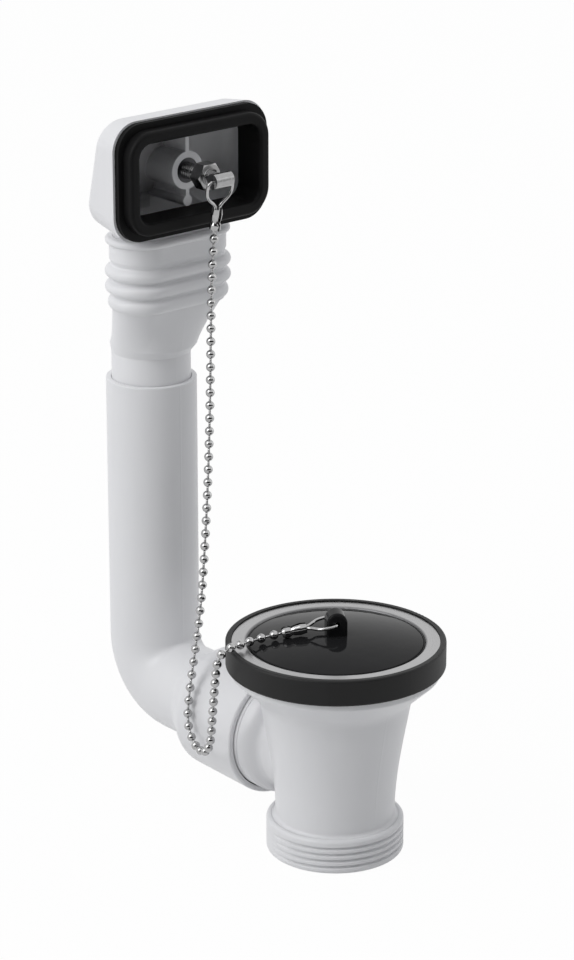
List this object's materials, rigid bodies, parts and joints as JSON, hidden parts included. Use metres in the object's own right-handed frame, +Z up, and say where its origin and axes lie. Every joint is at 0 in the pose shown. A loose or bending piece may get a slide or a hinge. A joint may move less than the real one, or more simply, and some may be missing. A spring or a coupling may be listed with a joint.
{
  "type": "sink waste with overflow",
  "caption": "White plastic sink waste with a side pipe and flexible connector to a rectangular overflow head, black rubber seals, steel strainer flange, and a black plug on a ball chain.",
  "frame": {"origin": "on the waste's axis at the top of its gasket, where the gasket meets the underside of the bowl's floor", "axes": "+Z up along the waste's axis; -X along the side inlet towards the overflow pipe; +X is the way the overflow head's mouth faces; +Y completes the frame, along the head's width"},
  "size_m": [0.1535, 0.0793, 0.2483],
  "materials": {
    "white_plastic": "satin white polypropylene",
    "connector_plastic": "satin white soft plastic",
    "waste_gasket": "matt black rubber",
    "overflow_seal": "matt black rubber",
    "socket_seal": "matt black rubber",
    "plug": "smooth black rubber",
    "strainer_flange": "turned stainless steel",
    "screw_steel": "stainless steel",
    "chrome_fittings": "bright chrome",
    "chain_chrome": "bright chrome"
  },
  "bodies": {
    "waste": {"waste_gasket": "waste_gasket", "strainer_flange": "strainer_flange", "plug": "plug", "waste_body": "white_plastic", "bar_insert": "screw_steel", "flange_screw": "screw_steel", "socket_seal": "socket_seal", "overflow_pipe": "white_plastic", "ball_chain": "chain_chrome", "lower_chain_clip": "chrome_fittings", "lower_chain_clasp": "chrome_fittings"},
    "overflow": {"bellows_connector": "connector_plastic", "overflow_head": "white_plastic", "overflow_seal": "overflow_seal", "stay_insert": "screw_steel", "chain_stay": "chrome_fittings", "stay_nut": "chrome_fittings", "upper_chain_clip": "chrome_fittings", "upper_chain_clasp": "chrome_fittings"}
  },
  "joints": [
    {"name": "height_slide", "type": "slide", "parent": "waste", "child": "overflow", "axis": [0, 0, 1], "range_m": [-0.008, 0.018], "deforming": ["ball_chain"]}
  ]
}
